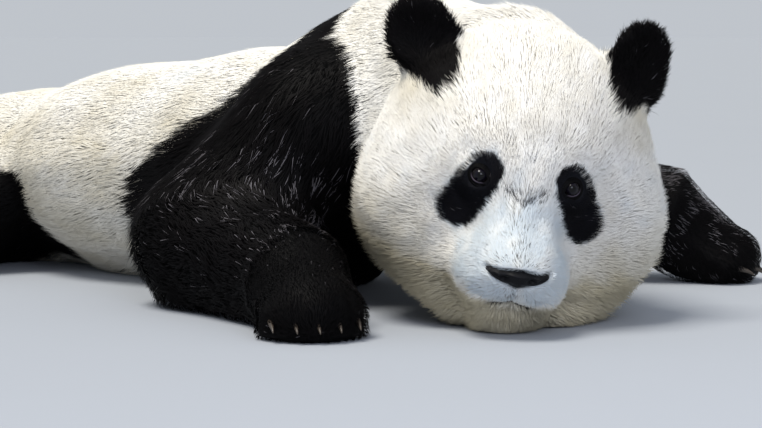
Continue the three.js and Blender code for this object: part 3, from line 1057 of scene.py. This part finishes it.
def eyeball(side, material):
    """A ball with the cornea's bulge, and each vertex's distance from the line of sight."""
    radius = EYE_RADIUS * MM
    deselect()
    bpy.ops.mesh.primitive_uv_sphere_add(segments=64, ring_count=40, radius=radius)
    ball = bpy.context.object
    ball.name = f"eyeball_{side}"
    sight = unit(HEAD.direction([0.955, 0.06 * SIDES[side], 0.28]))
    points = points_of(ball.data)
    turn = np.array(ABOVE.rotation_difference(Vector(sight)).to_matrix())
    points = points @ turn.T
    reach = length_of(points - np.outer(points @ sight, sight))
    reach = np.where(points @ sight > 0, reach, radius * 2)
    cornea = fade(reach, 2 * MM, 7.5 * MM)
    grow = 1 - 0.35 * MM / radius + 0.9 * MM / radius * cornea
    move_points(ball.data, points * grow[:, None] + np.array(middle(f"eye_{side}")))
    store(ball.data, "reach", reach, "FLOAT")
    finish_piece(ball, material, [f"eye_{side}"])


def eyelids(side, settings, material):
    """A ring of skin that lies on the eyeball, from the edge of the lids out under the coat."""
    axes = eye_axes(side)
    turns = 72
    angle = np.arange(turns) / turns * 2 * math.pi
    corner = 1 + 0.16 * ramp(-np.cos(angle), 0.8, 1.0)
    rings = []
    for grow, height, thick, _ in LID_RINGS:
        across = np.cos(angle) * settings.half_length / MM * grow * corner
        upward = np.sin(angle) * settings.half_height / MM * grow
        distance = np.hypot(across, upward)
        reach = np.minimum(distance, EYE_RADIUS * 0.86)
        over = height + thick * (settings.lid / MM)
        out = np.sqrt(EYE_RADIUS**2 - reach**2) + over - (distance - reach) * 0.42
        rings.append(np.stack([out, across, upward], 1))
    points = axes.world(np.concatenate(rings))
    here = np.arange(turns)
    after = (here + 1) % turns
    starts = [turns * row for row in range(len(LID_RINGS) - 1)]
    faces = [np.stack([s + here, s + turns + here, s + turns + after, s + after], 1) for s in starts]
    ring = new_piece(f"eyelids_{side}", points, np.concatenate(faces))
    around = unit((HEAD.local(points) - EYE_PLACES[side])[:, 1:])
    # Painted highlight: only the lower lid, which faces the light, takes the pale edge.
    lower = ramp(around @ [0.5 * SIDES[side], -0.87], 0.2, 0.9)
    store(ring.data, "margin", np.repeat([row[3] for row in LID_RINGS], turns) * lower, "FLOAT")
    add_modifier(ring, "SOLIDIFY", thickness=0.5 * MM, offset=-1)
    edit_all(ring, bpy.ops.mesh.normals_make_consistent, inside=False)
    finish_piece(ring, material)


class PANDA_OT_eyes(bpy.types.Operator):
    """Makes both eyeballs and the lids round them"""

    bl_idname = "panda.eyes"
    bl_label = "Eyes"

    def execute(self, context):
        ball, lids = eye_material(), lid_material()
        for side in SIDES:
            eyeball(side, ball)
            eyelids(side, context.scene.panda_eyes, lids)
        return {"FINISHED"}


# ---- Nose ----


def shape_nose(points):
    """A broad leather that narrows to a point below, with a groove and nostrils shaped like commas."""
    local = HEAD.local(points) - NOSE_PLACE
    strips = np.clip(np.rint(local[:, 1] / 2).astype(int) + 20, 0, 40)
    low, high = np.full(41, 99.0), np.full(41, -99.0)
    np.minimum.at(low, strips, local[:, 2])
    np.maximum.at(high, strips, local[:, 2])
    places = np.arange(-40, 41, 2)[low < high]
    low, high = (np.interp(local[:, 1], places, ends[low < high]) for ends in (low, high))
    lower, upper = nose_edges(local[:, 1])
    share = (local[:, 2] - low) / np.maximum(high - low, 4)
    local[:, 2] = lower - 1 + (upper - lower + 2) * share
    ahead, left, up = local.T
    side = np.abs(left)
    front = ramp(ahead, 0, 6)
    hole = bump(np.hypot((side - 15) / 1.5, up + 1.5) / 3.6, 1)
    slit = bump(np.hypot((side - 24) / 2.6, up - 0.5 - (side - 24) * 0.30) / 1.9, 1)
    groove = bump(left / 1.3, 1) * fade(up, -7, 1)
    local[:, 0] -= (np.maximum(hole * 6.0, slit * 3.5) + groove * 1.5) * front
    local[:, 0] -= 1.5 * ramp(up, 5, 10)
    return HEAD.world(local + NOSE_PLACE)


class PANDA_OT_nose(bpy.types.Operator):
    """Rounds a copy of the nose and opens its nostrils"""

    bl_idname = "panda.nose"
    bl_label = "Nose"

    def execute(self, context):
        nose = merged_copy(["nose"], "nose_leather")
        add_modifier(nose, "REMESH", mode="VOXEL", voxel_size=1.1 * MM)
        net = Net(nose.data)
        points = points_of(nose.data)
        points = net.relax(points, 12, np.ones(len(points)))
        move_points(nose.data, shape_nose(points))
        finish_piece(nose, nose_material(), ["nose"])
        return {"FINISHED"}


# ---- Claws ----


class PANDA_OT_claws(bpy.types.Operator):
    """Rounds copies of the claws, one piece for each paw"""

    bl_idname = "panda.claws"
    bl_label = "Claws"

    def execute(self, context):
        horn = horn_material()
        for limb in ("fore", "hind"):
            for side in SIDES:
                names = [f"claw_{limb}_{side}_{i}" for i in range(1, 6)]
                claws = merged_copy(names, f"claws_{limb}_{side}")
                add_modifier(claws, "SUBSURF", levels=2, render_levels=2)
                finish_piece(claws, horn, names)
        return {"FINISHED"}


# ---- The coat ----


class Roots:
    """Places on the skin where tufts grow, with what the skin knows there."""

    def __init__(self, mesh, chosen, rate, rng):
        mesh.calc_loop_triangles()
        corners = read(mesh.loop_triangles, "vertices", 3, np.int32)
        loops = read(mesh.loop_triangles, "loops", 3, np.int32)
        inside = chosen[corners].all(1)
        corners, loops = corners[inside], loops[inside]
        points = points_of(mesh)
        edges = points[corners[:, 1:]] - points[corners[:, :1]]
        area = length_of(np.cross(edges[:, 0], edges[:, 1])) / 2
        weight = np.cumsum(area * rate[corners].mean(1))
        count = int(weight[-1])
        places = (np.arange(count) + rng.random(count)) * weight[-1] / count
        picked = np.minimum(np.searchsorted(weight, places), len(corners) - 1)
        first, second = rng.random((2, count))
        flip = first + second > 1
        first, second = np.where(flip, 1 - first, first), np.where(flip, 1 - second, second)
        self.share = np.stack([1 - first - second, first, second], 1)
        self.corners = corners[picked]
        self.count = count
        uv = read(mesh.uv_layers["OFBake"].uv, "vector", 2)
        self.uv = (uv[loops[picked]] * self.share[:, :, None]).sum(1)
        self.point = self.at(points)
        self.normal = unit(self.at(normals_of(mesh)))

    def at(self, values):
        """Values of the vertices, read at the roots."""
        share = self.share if values.ndim == 1 else self.share[:, :, None]
        return (values[self.corners] * share).sum(1)


def tuft_sizes(zone, roots, fields, rng):
    """Length, width and height of each tuft. Guard hairs are longer, thinner and a little higher."""
    guard = rng.random(roots.count) < GUARD_SHARE
    low, high, _ = STANDING.get(zone, LYING)
    ranges = (
        ("coat_length", 0.72, 1.12, GUARD_LENGTH),
        ("coat_width", 0.7, 1.15, GUARD_WIDTH),
        ("coat_depth", low, high, GUARD_HEIGHT),
    )
    sizes = []
    for field, least, most, of_guard in ranges:
        spread = rng.uniform(least, most, roots.count)
        sizes.append(roots.at(fields[field] * MM) * spread * np.where(guard, of_guard, 1))
    return sizes


def tuft_lie(roots, lie, rng):
    """Which way each tuft lies: as the coat does there, turned a little, in locks and one by one."""
    turn = 0.18 * waves(roots.point, 0.022, 51) + 0.15 * waves(roots.point, 0.060, 52)
    turn += rng.normal(0, 0.08, roots.count)
    along = unit(roots.at(lie))
    across = np.cross(roots.normal, along)
    return unit(along * np.cos(turn)[:, None] + across * np.sin(turn)[:, None])


def tuft_colours(zone, roots, marks, rng):
    """The marks of each tuft, and whether it is one of the pale strands painted as glints."""
    colours = roots.at(marks)
    crisp = 1.7 if zone == "face" else 2.0
    edge = (colours[:, 0] - 0.5) * crisp + 0.5
    colours[:, 0] = np.clip(edge + rng.normal(0, 0.11, roots.count), 0, 1)
    black = colours[:, 0] > 0.5
    tone = np.clip(0.35 + 0.3 * waves(roots.point, 0.03, 53) + rng.normal(0, 0.22, roots.count), 0, 1)
    glinting = (rng.random(roots.count) < glint_share(roots.point)) & black
    # Painted glints: these tufts get the highest tone, which the material turns pale.
    colours[:, 2] = np.where(glinting, 1.0, tone * np.where(black, 0.5, 1.0))
    return colours, glinting


def tuft_corners(roots, length, height, width, lie, rise, rng):
    """The corners of each tuft and their normals. A tuft rises from the skin and bends over to its lie."""
    normal = roots.normal
    side = unit(np.cross(normal, lie))
    bend = rng.normal(0, 0.07, roots.count) * length
    forward = np.sqrt(np.maximum(length**2 - height**2, (0.3 * length) ** 2))
    base = roots.point - normal * ROOT_DEPTH

    def centre(share):
        up = height * ((1 + rise) * share - rise * share * share) + ROOT_DEPTH * share
        along = forward * (0.86 * share + 0.14 * share * share)
        return base + lie * along[:, None] + normal * up[:, None] + side * (bend * share * share)[:, None]

    points, normals = [centre(0)], [normal]
    for across, raised in ((0.5, 0.0), (0.0, 0.42), (-0.5, 0.0)):
        shift = side * across + normal * raised
        points.append(centre(THICKEST) + shift * (width * 0.94)[:, None])
        normals.append(unit(normal + shift * 0.5))
    points.append(centre(1))
    normals.append(unit(normal + lie * 0.25))
    points, normals = np.stack(points, 1), np.stack(normals, 1)
    points[:, :, 2] = np.maximum(points[:, :, 2], COAT_GAP)
    return points, normals


def set_patches(mesh, places):
    """Gives each tuft a small patch of its own at its root's place on the skin's unwrap."""
    spots = (places[:, None, :] + (TUFT_PATCH - 0.5) * PATCH_SIZE).reshape(-1, 2)
    layer = mesh.uv_layers.new(name="OFBake")
    loops = read(mesh.loops, "vertex_index", 1, np.int32)
    layer.uv.foreach_set("vector", spots[loops].astype(np.float32).ravel())


def zone_masks(mesh, labels):
    """Which vertices of the skin each piece of the coat grows on."""
    points = points_of(mesh)
    local = HEAD.local(points)
    from_nose = length_of(local - NOSE_PLACE)
    parts = PARTS[labels]
    head = parts == "head"
    past_face = from_nose >= FACE_REACH - 2
    past_brow = from_nose >= BROW_REACH
    above = local[:, 2] > BROW_HEIGHT
    right = points[:, 0] < 0
    front = points[:, 1] < middle("trunk").y
    zones = {
        "face": head & (from_nose < FACE_REACH),
        "brow": head & past_face & ~past_brow & above,
        "cheeks": head & past_face & ~above,
        "crown": head & past_brow & above,
        "ears": parts == "ear",
        "neck": parts == "neck",
        "tail": parts == "tail",
    }
    for side, here in (("right", right), ("left", ~right)):
        trunk = (parts == "trunk") & here
        zones[f"shoulders_{side}"] = trunk & front
        zones[f"haunches_{side}"] = trunk & ~front
        zones[f"fore_leg_{side}"] = np.isin(parts, ["upper_arm", "forearm", "fore_paw"]) & here
        zones[f"hind_leg_{side}"] = np.isin(parts, ["thigh", "shank", "hind_foot"]) & here
    return zones


def widened(mask, net):
    """A mask with one more row of vertices, so that neighbouring zones leave no gap."""
    return (net.around(mask.astype(float)) > 0) | mask


def clearing(mesh, bare):
    """The share of the coat that grows: none under the nose, on the lids or in the mouth, little under the
    belly."""
    points = points_of(mesh)
    keep = 1 - 0.8 * pressed(points, normals_of(mesh), 0.5)
    for side in SIDES:
        socket = eye_axes(side).local(points)
        across = np.hypot(socket[:, 1], socket[:, 2])
        keep *= np.where(np.abs(socket[:, 0]) < 20, ramp(across, 12.5, 15), 1)
    return keep * (1 - 0.93 * ramp(bare, 0.45, 0.8) - 0.07 * ramp(bare, 0.84, 0.94))


def grow_coat(zone, roots, fields, material, rng):
    """One piece of the coat: a mesh of closed tufts."""
    length, width, height = tuft_sizes(zone, roots, fields, rng)
    lie = tuft_lie(roots, fields["lie"], rng)
    colours, glinting = tuft_colours(zone, roots, fields["marks"], rng)
    width *= np.where(glinting, 0.55, 1)
    if zone == "face":
        dark_hair = rng.random(roots.count) < dark_hairs(HEAD.local(roots.point))
        colours[:, 0] = np.maximum(colours[:, 0], dark_hair * 0.9)
        width *= np.where(dark_hair, 0.75, 1)
        height *= np.where(dark_hair, 1.12, 1)
    rise = STANDING.get(zone, LYING)[2]
    points, normals = tuft_corners(roots, length, height, width, lie, rise, rng)
    corners = len(TUFT_SHARES)
    faces = np.arange(roots.count)[:, None, None] * corners + TUFT_FACES
    piece = new_piece(f"coat_{zone}", points.reshape(-1, 3), faces.reshape(-1, 3))
    marks = np.repeat(colours[:, None, :], corners, 1)
    marks[:, :, 3] = TUFT_SHARES
    store(piece.data, "marks", marks.reshape(-1, 4), "FLOAT_COLOR")
    set_patches(piece.data, roots.uv)
    finish_piece(piece, material)
    piece.data.normals_split_custom_set_from_vertices(normals.reshape(-1, 3).astype(np.float32))


class PANDA_OT_coat(bpy.types.Operator):
    """Grows the coat in tufts over the skin, one piece for each zone of the body"""

    bl_idname = "panda.coat"
    bl_label = "Coat"

    def execute(self, context):
        settings = context.scene.panda_coat
        mesh = bpy.data.objects["skin"].data
        net = Net(mesh)
        fields = {name: stored(mesh, name) for name in ("part", "bare", "marks", "lie", *COAT_FIELDS)}
        labels = np.rint(fields["part"]).astype(int)
        rate = fields["coat_tufts"] / SQUARE_CM * settings.thickness * clearing(mesh, fields["bare"])
        pale, dark = coat_material("White coat"), coat_material("Black coat")
        for order, (zone, mask) in enumerate(zone_masks(mesh, labels).items()):
            rng = np.random.default_rng(settings.seed + order)
            roots = Roots(mesh, mask if zone == "face" else widened(mask, net), rate, rng)
            grow_coat(zone, roots, fields, dark if zone.startswith(DARK_ZONES) else pale, rng)
        return {"FINISHED"}


# ---- The stage ----


def add_light(kind, name, direction, power, colour, **values):
    """A light that shines on the head from the given direction, 3 metres away."""
    light = bpy.data.lights.new(name, kind)
    light.energy = power
    light.color = colour
    for key, value in values.items():
        setattr(light, key, value)
    lamp = bpy.data.objects.new(name, light)
    lamp.location = middle("head") + direction.normalized() * 3
    lamp.rotation_euler = direction.to_track_quat("Z", "Y").to_euler()
    bpy.context.scene.collection.objects.link(lamp)


def lay_floor():
    deselect()
    bpy.ops.mesh.primitive_circle_add(vertices=96, radius=30, fill_type="NGON")
    floor = bpy.context.object
    floor.name = "floor"
    floor.data.materials.append(floor_material())
    floor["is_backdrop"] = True


def light_studio(scene):
    """Even, cool light from all round."""
    world = bpy.data.worlds.new("Studio")
    world.use_nodes = True
    colour, strength = world.node_tree.nodes["Background"].inputs[:2]
    colour.default_value = (0.86, 0.91, 0.98, 1)
    strength.default_value = 0.61
    scene.world = world
    scene.view_settings.view_transform = "Standard"


def place_camera(scene, settings):
    """Looks at the animal's face and fore legs. Gives the direction back to the camera."""
    azimuth, elevation = settings.azimuth, settings.elevation
    flat = math.cos(elevation)
    back = Vector((math.sin(azimuth) * flat, -math.cos(azimuth) * flat, math.sin(elevation)))
    camera = bpy.data.objects.new("camera", bpy.data.cameras.new("camera"))
    camera.data.lens = settings.lens
    camera.data.sensor_width = 36
    brow = (middle("eye_right") + middle("eye_left")) / 2
    camera.location = brow + AIM + back * settings.distance
    camera.rotation_euler = (-back).to_track_quat("-Z", "Y").to_euler()
    scene.collection.objects.link(camera)
    scene.camera = camera
    return back


class PANDA_OT_stage(bpy.types.Operator):
    """Lays the pale floor, hangs the lights and places the camera"""

    bl_idname = "panda.stage"
    bl_label = "Stage"

    def execute(self, context):
        lay_floor()
        light_studio(context.scene)
        back = place_camera(context.scene, context.scene.panda_stage)
        right = ABOVE.cross(back).normalized()
        key = ABOVE - right * 0.33 + back * 0.20
        fill = back + right * 0.15 + ABOVE * 0.35
        add_light("SUN", "key", key, 3.1, (1.0, 0.96, 0.88), angle=math.radians(26))
        add_light("AREA", "fill", fill, 28, (0.80, 0.84, 1.0), size=1.3)
        return {"FINISHED"}


# ---- Sidebar and start ----

OPERATORS = (
    PANDA_OT_stage,
    PANDA_OT_skin,
    PANDA_OT_eyes,
    PANDA_OT_nose,
    PANDA_OT_claws,
    PANDA_OT_coat,
)
SETTINGS = {
    "panda_skin": SkinSettings,
    "panda_eyes": EyeSettings,
    "panda_coat": CoatSettings,
    "panda_stage": StageSettings,
}


class PANDA_PT_sidebar(bpy.types.Panel):
    bl_label = "Panda"
    bl_idname = "PANDA_PT_sidebar"
    bl_space_type = "VIEW_3D"
    bl_region_type = "UI"
    bl_category = "Panda"

    def draw(self, context):
        for operator in OPERATORS:
            self.layout.operator(operator.bl_idname)
        for name, group in SETTINGS.items():
            box = self.layout.box()
            for setting in group.__annotations__:
                box.prop(getattr(context.scene, name), setting)


def register():
    for group in SETTINGS.values():
        bpy.utils.register_class(group)
    for name, group in SETTINGS.items():
        setattr(bpy.types.Scene, name, bpy.props.PointerProperty(type=group))
    for made in (*OPERATORS, PANDA_PT_sidebar):
        bpy.utils.register_class(made)


def unregister():
    for made in (PANDA_PT_sidebar, *reversed(OPERATORS)):
        bpy.utils.unregister_class(made)
    for name, group in SETTINGS.items():
        delattr(bpy.types.Scene, name)
        bpy.utils.unregister_class(group)


def main():
    register()
    bpy.ops.panda.stage()
    bpy.ops.panda.skin()
    bpy.ops.panda.eyes()
    bpy.ops.panda.nose()
    bpy.ops.panda.claws()
    bpy.ops.panda.coat()
    sizes = {"cad": cad_box, "visual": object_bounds()}
    {name: [list(corner) for corner in box] for name, box in sizes.items()}


if __name__ == "__main__":
    main()
